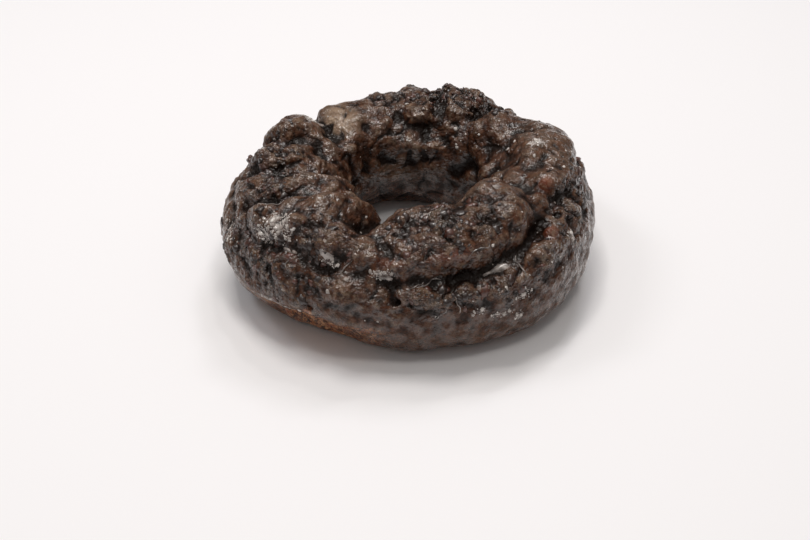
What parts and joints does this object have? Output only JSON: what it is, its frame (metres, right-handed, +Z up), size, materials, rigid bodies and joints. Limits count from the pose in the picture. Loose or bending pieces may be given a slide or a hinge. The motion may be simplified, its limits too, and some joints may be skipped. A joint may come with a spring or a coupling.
{
  "type": "old fashioned doughnut",
  "caption": "Ring of chocolate cake doughnut with a craggy crown split from a smooth skirt by a crack, under a thin sugar glaze, resting on its flat base.",
  "frame": {"origin": "middle of the doughnut's bounding box, on the plane of its flat base", "axes": "+Z up through the hole; +X to the right and -Y to the front, as the doughnut is seen in the picture"},
  "size_m": [0.0956, 0.0904, 0.036],
  "materials": {
    "glazed_cake": "dark cocoa brown cake, crumbly on the crown and smooth on the skirt, under a thin sugar glaze that dries milky in the hollows"
  },
  "bodies": {
    "root": {"doughnut": "glazed_cake"}
  },
  "joints": []
}
